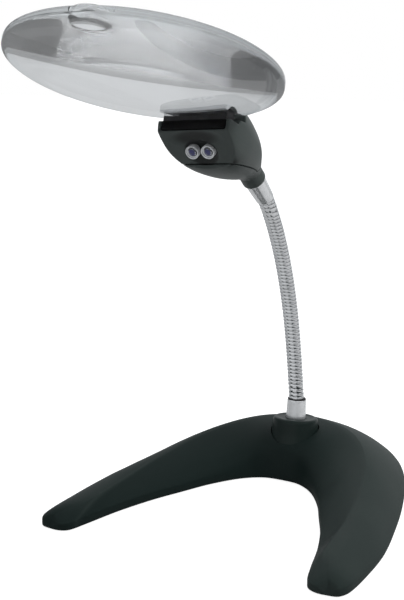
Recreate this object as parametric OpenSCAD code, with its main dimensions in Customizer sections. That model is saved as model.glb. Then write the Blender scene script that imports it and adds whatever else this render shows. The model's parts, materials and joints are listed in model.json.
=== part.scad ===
// Low vision magnifier: a rimless round lens in a lamp head, on a gooseneck, over a weighted crescent base.
// Millimetres, +Z up. The origin is on the table under the swivel. The legs and the lens point along -Y.

/* [Lens] */
// Diameter of the rimless lens
lens_d = 110; // [106:1:114]
// Thickness of the lens at its rim
lens_rim = 2.6; // [2:0.2:3.2]
// Radius of both spherical faces of the lens
lens_face_r = 245; // [220:5:280]
// Diameter of the strong spot lens
spot_d = 18; // [17:0.5:18.5]
// Height of the spot lens over the middle plane of the lens
spot_top = 7; // [6.9:0.05:7.2]

/* [Head] */
// Where the middle of the lens stands over the table
head_pos = [-4.1, -143.8, 211.4];
// Tilt of the lens, with its free edge up
head_tilt = -21.6; // [-24:0.2:-19]
// Slight turn of the head round the vertical
head_yaw = -1.5; // [-3:0.5:0]
// Slight roll of the head round its length
head_roll = -3.2; // [-5:0.2:0]
// Wall of the two head mouldings
head_wall = 1.9; // [1.6:0.1:2.2]
// Distance between the two lamps
led_pitch = 7.6; // [7:0.2:9]

/* [Neck] */
// Outer diameter of the gooseneck
neck_d = 8; // [7.6:0.2:8.4]
// Length of one neck segment
neck_step = 17; // [16.8:0.1:17.2]
// Lean of the lowest segment, towards the lens
lean_low = 9; // [8:0.5:10]
// Lean of the highest segment, towards the lens
lean_high = 36; // [35:0.5:37]

/* [Swivel] */
// Diameter of the turret's foot
turret_d = 25; // [24:0.5:25.5]
// Height of the turret over its seat
turret_h = 13.6; // [12:0.2:14]
// Backward lean of the swivel's axis
turret_lean = 6; // [4:0.5:8]
// Travel of the swivel to each side
swivel_travel = 45; // [30:5:60]

/* [Base] */
// Wall of the base moulding
base_wall = 2.4; // [2:0.1:2.8]
// Thickness of the anti-slip pad
pad_t = 1.5; // [1:0.1:1.8]
// Thickness of the bottom plate
plate_t = 2; // [1.5:0.1:2.2]
// Height of the moulding's lower rim over the table
rim_z = 0.6; // [0.3:0.1:0.9]

/* [Hidden] */
NECK_SEGMENTS = 7;
$fn = 64;
FIT = 0.05;        // radial clearance of a running fit
GAP = 0.3;         // free space between pieces that move past each other
EPS = 0.01;
BIG = 400;

body_color = [0.15, 0.19, 0.18];
black_color = [0.03, 0.03, 0.035];
chrome_color = [0.75, 0.76, 0.78];
clear_color = [0.85, 0.9, 0.92, 0.4];
iron_color = [0.3, 0.3, 0.31];
steel_color = [0.6, 0.6, 0.62];
board_color = [0.1, 0.35, 0.2];

// ---- curves ----

// Catmull-Rom value between b and c
function curve(a, b, c, d, t) =
    0.5 * (2 * b + (c - a) * t + (2 * a - 5 * b + 4 * c - d) * t * t + (3 * b - a - 3 * c + d) * t * t * t);

// Value of the station list at place s, from 0 to its last index
function station(list, s) =
    let (last = len(list) - 1, i = min(floor(s), last - 1), t = s - i)
    curve(list[max(i - 1, 0)], list[i], list[i + 1], list[min(i + 2, last)], t);

// Closed skin over rings that all have the same number of points
module skin(rings) {
    n = len(rings[0]);
    m = len(rings);
    points = [for (r = rings) each r];
    sides = [
        for (j = [0 : m - 2], i = [0 : n - 1])
            let (a = j * n + i, b = j * n + (i + 1) % n)
            each [[a, b, b + n], [a, b + n, a + n]]
    ];
    first = [for (i = [1 : n - 2]) [0, i + 1, i]];
    last = [for (i = [1 : n - 2]) [(m - 1) * n, (m - 1) * n + i, (m - 1) * n + i + 1]];
    polyhedron(points = points, faces = concat(first, sides, last));
}

// ---- base ----

// Half of the crescent from its middle to the right tip:
// inner edge x, y; outer edge x, y; ridge x, y, z; height of the inner wall; roundness of the top face;
// height of the outer wall; bulge of the outer slope
BASE = [
    [0, -18, 0, 63.5, 0, 18, 26, 1, 4, 2, 0.06],
    [10, -19.5, 26, 57, 14, 15, 25.6, 2, 3, 2, 0.08],
    [20, -27, 44.5, 37, 27, 8.5, 24.3, 4, 1.8, 2, 0.1],
    [29.7, -41, 58, 9.5, 38, -3.5, 22.3, 4.5, 1.3, 2, 0.12],
    [37.4, -57, 67.5, -23, 47, -21, 19.5, 4.5, 1.2, 2, 0.15],
    [45.2, -74, 73.5, -51, 54, -46, 15.5, 4.5, 1.15, 2, 0.2],
    [52.2, -94, 78, -79, 58, -76, 12, 4.5, 1.1, 2.5, 0.3],
    [57, -113, 78.6, -103, 60, -106, 9.9, 4.5, 1.1, 3.5, 0.3],
    [60.2, -123.5, 77.5, -119.5, 66, -118, 8, 4, 1.1, 4, 0.22],
    [65.5, -126.4, 74.5, -125.4, 69.5, -123.6, 6, 3.6, 1.1, 3.8, 0.1]
];
BASE_LAST = len(BASE) - 1;
BASE_RINGS = 2;     // rings from one station to the next
TOP_STEPS = [0.97, 0.88, 0.72, 0.5, 0.25];
SLOPE_STEPS = [0.25, 0.5, 0.75, 0.92];

// One cross-section of the crescent, w inside its faces, from the height z0 up; side is 1 or -1
function base_ring(s, w, z0, side) =
    let (
        p = station(BASE, s),
        across = [p[2] - p[0], p[3] - p[1]],
        dir = across / norm(across),
        inner = [p[0], p[1]] + dir * w,
        outer = [p[2], p[3]] - dir * w,
        ridge = [p[4], p[5]] + dir * (w * 0.4),
        top = p[6] - w,
        lip = max(p[7] - w, z0 + 0.2),
        foot = max(p[9] - w, z0 + 0.2),
        at = function(q, z) [side * q[0], q[1], z]
    )
    concat(
        [at(inner, z0), at(inner, lip)],
        [for (t = TOP_STEPS)
            at(ridge + (inner - ridge) * t, lip + (top - lip) * pow(1 - pow(t, p[8]), 1 / p[8]))],
        [at(ridge, top)],
        [for (t = SLOPE_STEPS)
            at(ridge + (outer - ridge) * t, top + (foot - top) * t + p[10] * top * 4 * t * (1 - t))],
        [at(outer, foot), at(outer, z0)]
    );

// The crescent between two places on its right half, or mirrored through the middle when whole
module base_loft(w, z0, from, to) {
    n = round((to - from) * BASE_RINGS);
    skin([for (i = [0 : n]) base_ring(from + (to - from) * i / n, w, z0, 1)]);
}

module base_loft_whole(w, z0, to) {
    n = round(to * BASE_RINGS);
    skin([for (i = [-n : n]) base_ring(abs(i) * to / n, w, z0, i < 0 ? -1 : 1)]);
}

// Outline of the crescent on the table, w inside its edges
function base_edge(w, to) =
    let (n = round(to * BASE_RINGS))
    concat(
        [for (i = [-n : n]) base_edge_point(abs(i) * to / n, w, i < 0 ? -1 : 1)],
        [for (i = [n : -1 : -n]) base_edge_point(abs(i) * to / n, -w, i < 0 ? -1 : 1)]
    );

// A point on the inner edge for w over 0, on the outer edge for w under 0
function base_edge_point(s, w, side) =
    let (
        p = station(BASE, s),
        across = [p[2] - p[0], p[3] - p[1]],
        dir = across / norm(across),
        q = w > 0 ? [p[0], p[1]] + dir * w : [p[2], p[3]] + dir * w
    )
    [side * q[0], q[1]];

SCREWS = [[0, 44], [45, -8], [-45, -8], [60, -68], [-60, -68]];
post_r = 3.6;
screw_r = 1.5;
screw_head_r = 2.8;
screw_tip_z = 9;
channel_z = 2;      // top of the straight-walled part of the base's hollow
plate_z = pad_t;
plate_top = plate_z + plate_t;
plate_inset = 6.4;  // the plate and the ballast stand clear of the sloping walls
ballast_inset = 7;

turret_pos = [0, -2.3, 17];
spigot_r = 6;
thread_r = 5;
boss_r = 14;
boss_depth = 8;
washer_t = 0.8;
nut_t = 3;
thread_end = 0.4;    // thread below the nut
stop_r = [8.6, 11.2];
stop_deg = 16;
stop_depth = 2;

module at_turret() {
    translate(turret_pos) rotate([-turret_lean, 0, 0]) children();
}

// Ring sector that starts at angle a0 and spans a, used for the swivel's stop
module sector(r_in, r_out, h, a0, a) {
    rotate([0, 0, a0]) rotate_extrude(angle = a) translate([r_in, 0]) square([r_out - r_in, h]);
}

module base_shell() color(body_color) {
    difference() {
        base_loft_whole(0, -1, BASE_LAST);
        translate([-BIG / 2, -BIG / 2, rim_z - BIG]) cube(BIG);
        difference() {
            union() {
                translate([0, 0, -1]) linear_extrude(channel_z + 1) polygon(base_edge(base_wall, BASE_LAST - 1));
                base_loft_whole(base_wall + 0.15, channel_z - 0.8, BASE_LAST - 1);
            }
            at_turret() translate([0, 0, -boss_depth]) cylinder(r = boss_r, h = 30);
            for (p = SCREWS) translate([p[0], p[1], plate_top]) cylinder(r = post_r, h = 30);
        }
        at_turret() {
            cylinder(d = turret_d + 2 * GAP, h = 40);
            translate([0, 0, -boss_depth - 1]) cylinder(r = spigot_r + FIT, h = boss_depth + 2);
            translate([0, 0, -stop_depth])
                sector(stop_r[0] - GAP, stop_r[1] + GAP, stop_depth + 1,
                    90 - swivel_travel - stop_deg / 2 - 1, 2 * swivel_travel + stop_deg + 2);
        }
        for (p = SCREWS) translate([p[0], p[1], 0]) cylinder(r = screw_r + FIT, h = screw_tip_z + 0.4);
    }
}

module base_plate() color(iron_color) difference() {
    translate([0, 0, plate_z]) linear_extrude(plate_t) polygon(base_edge(plate_inset, BASE_LAST - 2.5));
    for (p = SCREWS) translate([p[0], p[1], plate_z - EPS]) {
        cylinder(r = screw_r + 0.15, h = plate_t + 1);
        cylinder(r1 = screw_head_r + 0.15, r2 = screw_r + 0.15, h = 1.5);
    }
}

module base_pad() color(black_color)
    linear_extrude(pad_t) polygon(base_edge(base_wall + 0.7, BASE_LAST - 1.5));

module ballast(side) color(iron_color) mirror([side < 0 ? 1 : 0, 0, 0]) difference() {
    base_loft(ballast_inset, plate_top + 0.3, 3, BASE_LAST - 3);
    for (p = SCREWS) translate([p[0], p[1], 0]) cylinder(r = post_r + 0.5, h = 30);
}

module ballast_left() ballast(-1);
module ballast_right() ballast(1);

module base_screws() color(steel_color) for (p = SCREWS) translate([p[0], p[1], plate_z]) difference() {
    union() {
        cylinder(r1 = screw_head_r, r2 = screw_r, h = 1.3);
        cylinder(r = screw_r, h = screw_tip_z - plate_z);
    }
    for (a = [0, 90]) rotate([0, 0, a]) translate([-1.4, -0.3, -EPS]) cube([2.8, 0.6, 0.7]);
}

// ---- swivel ----

ferrule_seat_r = 3.8;
ferrule_h = 9.4;

thread_z = -boss_depth - 0.2 - washer_t - nut_t - thread_end;

module turret() color(body_color) at_turret() difference() {
    union() {
        rotate_extrude() polygon([
            [0, thread_z], [thread_r, thread_z],
            [thread_r, -boss_depth - 0.2], [spigot_r, -boss_depth - 0.2], [spigot_r, GAP],
            [turret_d / 2, GAP], [turret_d / 2 - 0.9, turret_h - 1.2], [turret_d / 2 - 1.3, turret_h - 0.4],
            [turret_d / 2 - 2.1, turret_h], [0, turret_h]
        ]);
        translate([0, 0, -stop_depth + GAP])
            sector(stop_r[0], stop_r[1], stop_depth, 90 - stop_deg / 2, stop_deg);
    }
    translate([0, 0, turret_h - 6]) cylinder(r = ferrule_seat_r + FIT, h = 8);
}

module friction_washer() color(steel_color) at_turret() translate([0, 0, -boss_depth - 0.2 - washer_t])
    difference() {
        cylinder(r = 9.5, h = washer_t);
        translate([0, 0, -1]) cylinder(r = thread_r + 0.1, h = 4);
    }

module turret_nut() color(steel_color) at_turret()
    translate([0, 0, -boss_depth - 0.2 - washer_t - nut_t]) difference() {
        cylinder(r = 9.2, h = nut_t, $fn = 6);
        translate([0, 0, -1]) cylinder(r = thread_r + FIT, h = nut_t + 2);
    }

module lower_ferrule() color(chrome_color) at_turret() difference() {
    union() {
        translate([0, 0, turret_h - 5]) cylinder(r = ferrule_seat_r, h = 6);
        translate([0, 0, turret_h]) cylinder(r1 = 5.2, r2 = 4.9, h = ferrule_h);
    }
    translate([0, 0, turret_h + ferrule_h - 5]) cylinder(r = 4.1, h = 8);
}

// ---- neck ----

neck_start = [0, -0.4, 40.6];
neck_r = neck_d / 2;
ball_r = 3.2;
stem_r = 2;
socket_rim = 1.2;
shoulder = 2.6;
plug_r = 3;

function neck_lean(i) = lean_low + (lean_high - lean_low) * pow(i / (NECK_SEGMENTS - 1), 1.5);
function neck_point(i) =
    i == 0 ? neck_start : neck_point(i - 1) + neck_step * [0, -sin(neck_lean(i - 1)), cos(neck_lean(i - 1))];

// Segment k, counted from 1 at the foot: a socket below and a ball above
module neck_segment(k) color(chrome_color) {
    low = k == 1 ? 0.9 : -socket_rim;
    high = k == NECK_SEGMENTS ? neck_step - 1.1 : neck_step - shoulder;
    translate(neck_point(k - 1)) rotate([neck_lean(k - 1), 0, 0]) {
        difference() {
            union() {
                translate([0, 0, low]) cylinder(r = neck_r, h = high - low);
                if (k == 1) translate([0, 0, -2.8]) cylinder(r = plug_r, h = 6);
                if (k == NECK_SEGMENTS) translate([0, 0, high - 1]) cylinder(r = plug_r, h = 4);
                if (k < NECK_SEGMENTS) {
                    translate([0, 0, high - 1]) cylinder(r = stem_r, h = shoulder + 1);
                    translate([0, 0, neck_step]) sphere(r = ball_r);
                }
            }
            if (k > 1) sphere(r = ball_r + FIT);
        }
    }
}

// ---- head: its own frame has the middle of the lens at the origin, +Y to the neck, +Z up through the lens ----

module in_head() {
    translate(head_pos) rotate([0, 0, head_yaw]) rotate([head_tilt, 0, 0]) rotate([0, head_roll, 0]) children();
}

lens_r = lens_d / 2;
lens_sag = lens_face_r - sqrt(lens_face_r * lens_face_r - lens_r * lens_r);
face_mid = lens_rim / 2 + lens_sag - lens_face_r;
spot_pos = [4.5, -42.5, 0];
spot_face_r = 15;

// The lens, grown by g on every face
module lens_body(g = 0) intersection() {
    translate([0, 0, face_mid + g]) sphere(r = lens_face_r, $fn = 200);
    translate([0, 0, -face_mid - g]) sphere(r = lens_face_r, $fn = 200);
    translate([0, 0, -20]) cylinder(r = lens_r + g, h = 40, $fn = 180);
}

module lens() color(clear_color) in_head() lens_body();

module spot_lens() color(clear_color) in_head() difference() {
    translate(spot_pos) intersection() {
        translate([0, 0, spot_top - spot_face_r]) sphere(r = spot_face_r, $fn = 96);
        cylinder(d = spot_d, h = 20);
    }
    translate([0, 0, face_mid + EPS]) sphere(r = lens_face_r, $fn = 200);
}

// Head outline: place along the head, half width, top, bottom, roundness of the top, roundness of the underside
HEAD = [
    [38, 16.2, 8.8, -12, 0.35, 0.32],
    [42, 17.3, 9.3, -13.7, 0.4, 0.32],
    [50, 17.8, 9, -18.1, 0.65, 0.4],
    [58, 17.8, 8.2, -21.1, 0.8, 0.58],
    [66, 17.2, 7, -22.1, 0.85, 0.72],
    [76, 15.2, 4.6, -21.2, 0.88, 0.82],
    [84, 12.6, 1.8, -19.4, 0.9, 0.9],
    [90, 9.8, -1.4, -17.5, 0.95, 0.95],
    [95, 7.4, -4.6, -16.4, 1, 1],
    [98, 6, -6, -15.8, 1, 1]
];
HEAD_LAST = len(HEAD) - 1;
HEAD_POINTS = 32;
function signed_pow(v, e) = sign(v) * pow(abs(v), e);

// One cross-section of the head, w inside its outer face
function head_ring(s, w) =
    let (p = station(HEAD, s), mid = (p[2] + p[3]) / 2, half = (p[2] - p[3]) / 2 - w)
    [for (i = [0 : HEAD_POINTS - 1])
        let (a = 360 * i / HEAD_POINTS, e = a < 180 ? p[4] : p[5])
        [(p[1] - w) * signed_pow(cos(a), e), p[0], mid + half * signed_pow(sin(a), e)]];

module head_loft(w, from, to) {
    n = round((to - from) * 2);
    skin([for (i = [0 : n]) head_ring(from + (to - from) * i / n, w)]);
}

// A slab across the head whose side outline is a list of y, z points
module across_head(outline, half = 40) {
    rotate([90, 0, 90]) translate([0, 0, -half]) linear_extrude(2 * half) polygon(outline);
}

socket_end = [0, 103.9, -13.3];
socket_lean = 20.4;
socket_r = 5.7;
socket_bore_r = 3.5;

// Along the socket, with +Z out of the head towards the neck
module at_socket() {
    translate(socket_end) rotate([-90 - socket_lean, 0, 0]) children();
}

band_y = 42;
lip_z = -10.6;
band_top = -5.7;
scoop_end = [58.5, -20.3];
scoop_slope = atan((lip_z - scoop_end[1]) / (scoop_end[0] - band_y));
dish_pos = [0, 45, -29.6];
dish_r = 17;
led_y = 51.2;
led_z = -17;
led_lean = 45;
led_r = 2.5;
bezel_r = 3.1;
jaw_z = 6.6;
jaw_front = 41;
seam = [[56, -20.4], [90, -13.7], [96.5, -7], [115, -3]];

// Space in front of the lamps: below the plane from the lip to the scoop's end, and a shallow dish
module scoop() {
    across_head([[30, lip_z + (band_y - 30) * tan(scoop_slope)], scoop_end, [60, -40], [30, -40]]);
    translate(dish_pos) sphere(r = dish_r);
}

module at_led(side) {
    translate([side * led_pitch / 2, led_y, led_z]) rotate([180 - led_lean, 0, 0]) children();
}

module head_outer() {
    difference() {
        head_loft(0, 0, HEAD_LAST);
        across_head([[30, band_top], [band_y, band_top], [band_y, -40], [30, -40]]);
        scoop();
    }
    at_socket() translate([0, 0, -19]) cylinder(r = socket_r, h = 19);
}

// Room for the lens between the jaw and the lamp pod
module lens_slot() {
    across_head([[30, band_top], [49.5, band_top], [51, -3.4], [lens_r + 0.3, -3], [lens_r + 0.3, 2], [51, jaw_z],
        [30, jaw_z]]);
    across_head([[30, 0], [jaw_front, 0], [jaw_front, 20], [30, 20]]);
}

module head_cavity() {
    intersection() {
        head_loft(head_wall, 2, HEAD_LAST - 0.5);
        across_head([[57.6, 20], [57.6, -6.6], [54, -8], [54, -9.5], [64.5, -17.4], [66, -30], [93, -30], [93, 20]]);
    }
}

module below_seam(shift) {
    across_head(concat([[40, seam[0][1] + shift - 3.2], [40, -40], [120, -40]],
        [for (i = [len(seam) - 1 : -1 : 0]) seam[i] + [0, shift]]));
}

button_y = 62.5;
button_r = 3.2;
cap_y = 77.5;
cap_r = 8.8;
cap_lean = -17;
cap_z = 3.2;
shell_screw = [11.2, 62];
clamp_screw = [9.5, 46];

module at_cap() {
    translate([0, cap_y, cap_z]) rotate([cap_lean, 0, 0]) children();
}

module at_pairs(place) {
    for (side = [-1, 1]) translate([side * place[0], place[1], 0]) children();
}

module head_upper_shell() color(body_color) in_head() difference() {
    union() {
        difference() {
            head_outer();
            head_cavity();
        }
        intersection() {
            at_pairs(shell_screw) translate([0, 0, -16]) cylinder(r = 2.4, h = 22);
            head_loft(0.5, 2, HEAD_LAST);
        }
    }
    lens_slot();
    below_seam(0.05);
    at_socket() translate([0, 0, -26]) cylinder(r = socket_r + FIT, h = 40);
    for (side = [-1, 1]) at_led(side) translate([0, 0, -12]) cylinder(r = led_r + 0.15, h = 20);
    for (side = [-1, 1]) at_led(side) translate([0, 0, -2.5]) cylinder(r = bezel_r + 0.05, h = 20);
    at_cap() translate([0, 0, -3]) cylinder(r = cap_r + 0.15, h = 20);
    translate([0, button_y, 0]) cylinder(r = button_r + 0.1, h = 20);
    at_pairs(shell_screw) translate([0, 0, -22]) cylinder(r = 1.15, h = 40);
    at_pairs(shell_screw) translate([0, 0, 4.95]) cylinder(r = 2.1, h = 20);
    at_pairs(clamp_screw) translate([0, 0, 0]) cylinder(r = 1.15, h = 20);
    at_pairs(clamp_screw) translate([0, 0, 7.4]) cylinder(r = 2.1, h = 20);
    across_head([[band_y - 1, band_top + 0.1], [band_y + 1.2, band_top + 0.1], [band_y + 1.2, lip_z + 0.6],
        [band_y - 1, lip_z + 0.6]], 15.6);
}

module head_bottom_cover() color(body_color) in_head() difference() {
    union() {
        difference() {
            head_outer();
            head_cavity();
        }
        intersection() {
            at_pairs(shell_screw) translate([0, 0, -24]) cylinder(r = 2.4, h = 14);
            head_loft(0.5, 2, HEAD_LAST);
        }
    }
    difference() {
        translate([-40, 20, -60]) cube([80, 120, 120]);
        below_seam(0);
    }
    at_socket() translate([0, 0, -8]) cylinder(r = socket_bore_r + FIT, h = 20);
    at_pairs(shell_screw) translate([0, 0, -18]) cylinder(r = 1, h = 40);
}

module shell_screws() color(steel_color) in_head() at_pairs(shell_screw) difference() {
    union() {
        translate([0, 0, -17.5]) cylinder(r = 1, h = 23);
        translate([0, 0, 5]) cylinder(r = 2, h = 1.4);
    }
    translate([-1.5, -0.25, 5.8]) cube([3, 0.5, 2]);
}

module clamp_screws() color(steel_color) in_head() at_pairs(clamp_screw) difference() {
    union() {
        translate([0, 0, 5.2]) cylinder(r = 1, h = 3);
        translate([0, 0, 7.45]) cylinder(r = 2, h = 1.2);
    }
    translate([-1.5, -0.25, 8.1]) cube([3, 0.5, 2]);
}

// Soft seat between the jaw and the upper face of the lens
module lens_gasket() color(black_color) in_head() difference() {
    across_head([[jaw_front + 0.1, -10], [50, -10], [50, jaw_z - 0.05], [jaw_front + 0.1, jaw_z - 0.05]], 13);
    translate([0, 0, face_mid + 0.02]) sphere(r = lens_face_r, $fn = 200);
    translate([-20, 30, -20]) cube([40, 30, 21.3]);
    at_pairs(clamp_screw) cylinder(r = 1.1, h = 20);
}

// Soft seat under the lens, on the front of the lamp pod
module lens_rest() color(black_color) in_head() difference() {
    across_head([[band_y + 0.6, band_top + 0.05], [49.2, band_top + 0.05], [49.2, 0], [band_y + 0.6, 0]], 15.2);
    translate([0, 0, -face_mid - 0.02]) sphere(r = lens_face_r, $fn = 200);
}

module clamp_trim() color(chrome_color) in_head() difference() {
    intersection() {
        across_head([[38.2, 0], [jaw_front - 0.05, 0], [jaw_front - 0.05, 20], [38.2, 20]], 15.2);
        head_loft(0, 0, 2);
    }
    translate([0, 0, face_mid + 0.15]) sphere(r = lens_face_r, $fn = 200);
}

module front_band() color(black_color) in_head() intersection() {
    across_head([[band_y - 0.2, band_top - 0.1], [band_y + 1.1, band_top - 0.1], [band_y + 1.1, lip_z + 0.7],
        [band_y - 0.2, lip_z + 0.7]], 15.4);
    translate([-15.4, 30, -20]) cube([30.8, 30, 30]);
}

// 5 mm lamp with a domed front and a flange behind
module led(side) color(clear_color) in_head() at_led(side) {
    translate([0, 0, -6.2]) cylinder(r = led_r, h = 5.2);
    translate([0, 0, -1]) sphere(r = led_r);
    translate([0, 0, -7.2]) cylinder(r = led_r, h = 1.1);
}

module bezel(side) color(chrome_color) in_head() at_led(side) difference() {
    translate([0, 0, -2.4]) cylinder(r = bezel_r, h = 3);
    translate([0, 0, -3]) cylinder(r = led_r + FIT, h = 6);
    translate([0, 0, -0.1]) cylinder(r1 = led_r, r2 = bezel_r - 0.2, h = 0.8);
}

module led_left() led(-1);
module led_right() led(1);
module bezel_left() bezel(-1);
module bezel_right() bezel(1);

module circuit_board() color(board_color) in_head() translate([-8.4, 58, -5]) cube([16.8, 9, 1.2]);

module switch_body() color(black_color) in_head() translate([0, button_y, -3.75]) {
    translate([-3, -2.4, 0]) cube([6, 5, 3.5]);
    translate([0, 0, 3.4]) cylinder(r = 1.5, h = 0.8);
}

button_top = 9.4;
button_travel = 0.8;

module switch_button() color(black_color) in_head() translate([0, button_y, 0]) {
    translate([0, 0, 3]) cylinder(r = button_r - FIT, h = button_top - 3 - 0.6);
    translate([0, 0, button_top - 0.65]) cylinder(r1 = button_r - FIT, r2 = button_r - 0.7, h = 0.65);
    translate([0, 0, 3.4]) cylinder(r = button_r + 0.9, h = 1.2);
    translate([0, 0, 1.5]) cylinder(r = 1.2, h = 2);
}

cell_r = 8;
cell_t = 3.2;

module coin_cell(level) color(chrome_color) in_head() at_cap()
    translate([0, 0, -3.7 - (level + 1) * (cell_t + 0.1)]) {
        cylinder(r = cell_r, h = cell_t - 0.3);
        cylinder(r = cell_r - 1.2, h = cell_t);
    }

module coin_cell_lower() coin_cell(1);
module coin_cell_upper() coin_cell(0);

module battery_contact() color(steel_color) in_head() at_cap() {
    translate([-3, -7.5, -11.4]) cube([6, 15, 0.4]);
    translate([-3, -7.5, -12.9]) cube([6, 0.4, 1.6]);
}

module battery_cap() color(body_color) in_head() at_cap() difference() {
    union() {
        translate([0, 0, -2.9]) cylinder(r = cap_r, h = 3.4);
        translate([0, 0, 0.45]) cylinder(r1 = cap_r, r2 = cap_r - 0.6, h = 0.6);
    }
    translate([-6, -0.9, -0.2]) cube([12, 1.8, 3]);
}

module upper_ferrule() color(chrome_color) in_head() at_socket() difference() {
    union() {
        translate([0, 0, -7]) cylinder(r = socket_bore_r, h = 8);
        cylinder(r1 = 5, r2 = 4.3, h = 14.4);
    }
    translate([0, 0, 11]) cylinder(r = plug_r + 0.6, h = 6);
}

base_shell();
base_plate();
base_pad();
ballast_left();
ballast_right();
base_screws();
turret();
friction_washer();
turret_nut();
lower_ferrule();
neck_segment(1);  // neck_1
neck_segment(2);  // neck_2
neck_segment(3);  // neck_3
neck_segment(4);  // neck_4
neck_segment(5);  // neck_5
neck_segment(6);  // neck_6
neck_segment(7);  // neck_7
upper_ferrule();
head_upper_shell();
head_bottom_cover();
shell_screws();
lens();
spot_lens();
lens_gasket();
lens_rest();
clamp_trim();
clamp_screws();
front_band();
led_left();
led_right();
bezel_left();
bezel_right();
circuit_board();
switch_body();
switch_button();
coin_cell_lower();
coin_cell_upper();
battery_contact();
battery_cap();
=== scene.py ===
import json
import logging
import math
from dataclasses import dataclass, field
from enum import Enum
from typing import Callable, Optional, Sequence, Union

import bmesh
import bpy
from mathutils import Matrix, Vector


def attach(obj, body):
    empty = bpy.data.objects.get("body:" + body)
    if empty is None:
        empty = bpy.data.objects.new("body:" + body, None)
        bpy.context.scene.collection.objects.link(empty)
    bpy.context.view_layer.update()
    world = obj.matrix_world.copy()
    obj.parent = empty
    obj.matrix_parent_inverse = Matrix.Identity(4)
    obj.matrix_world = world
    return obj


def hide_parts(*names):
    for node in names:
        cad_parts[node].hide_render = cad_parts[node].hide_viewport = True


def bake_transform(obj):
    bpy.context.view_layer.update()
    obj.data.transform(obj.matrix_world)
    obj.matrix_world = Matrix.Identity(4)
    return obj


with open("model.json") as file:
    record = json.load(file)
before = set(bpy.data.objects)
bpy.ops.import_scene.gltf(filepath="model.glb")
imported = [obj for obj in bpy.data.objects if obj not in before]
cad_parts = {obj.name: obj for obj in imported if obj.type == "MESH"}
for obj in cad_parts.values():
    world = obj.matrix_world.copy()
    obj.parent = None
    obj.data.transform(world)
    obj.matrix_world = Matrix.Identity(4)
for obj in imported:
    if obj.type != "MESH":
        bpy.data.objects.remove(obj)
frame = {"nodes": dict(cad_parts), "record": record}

LOG = logging.getLogger("low_vision_magnifier")
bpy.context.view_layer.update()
MM = 0.001
Point = tuple[float, float]
Ring = list[Vector]
Piece = bpy.types.Object
Socket = bpy.types.NodeSocket
Material = bpy.types.Material


class Body(Enum):
    """The moving bodies that the pieces ride on."""

    BASE = "base"
    TURRET = "turret"
    HEAD = "head"
    BUTTON = "button"


# ---------------------------------------------------------------- shader maths


class Signal:
    """A shader value that adds a Math node for each operator used on it."""

    def __init__(self, bench: "Bench", socket: Socket) -> None:
        """Wraps a socket.

        Args:
            bench: the material that the socket is in.
            socket: the output socket that carries the value.
        """
        self.bench = bench
        self.socket = socket

    def __add__(self, other: "Amount") -> "Signal":
        """self + other."""
        return self.bench.math("ADD", self, other)

    def __sub__(self, other: "Amount") -> "Signal":
        """self - other."""
        return self.bench.math("SUBTRACT", self, other)

    def __rsub__(self, other: "Amount") -> "Signal":
        """other - self."""
        return self.bench.math("SUBTRACT", other, self)

    def __mul__(self, other: "Amount") -> "Signal":
        """self * other."""
        return self.bench.math("MULTIPLY", self, other)

    def __truediv__(self, other: "Amount") -> "Signal":
        """self / other."""
        return self.bench.math("DIVIDE", self, other)

    def __pow__(self, other: "Amount") -> "Signal":
        """self to the power of other."""
        return self.bench.math("POWER", self, other)

    __radd__ = __add__
    __rmul__ = __mul__

    def size(self) -> "Signal":
        """The value without its sign."""
        return self.bench.math("ABSOLUTE", self)

    def step(self, low: float, high: float) -> "Signal":
        """A smooth rise from 0 at low to 1 at high.

        Args:
            low: where the rise starts.
            high: where the rise ends.

        Returns:
            The value between 0 and 1.
        """
        node = self.bench.node(
            "ShaderNodeMapRange",
            {"interpolation_type": "SMOOTHSTEP"},
            {"Value": self, "From Min": low, "From Max": high},
        )
        return Signal(self.bench, node.outputs["Result"])


Amount = Union[Signal, float]
Colour = tuple[float, float, float]


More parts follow.
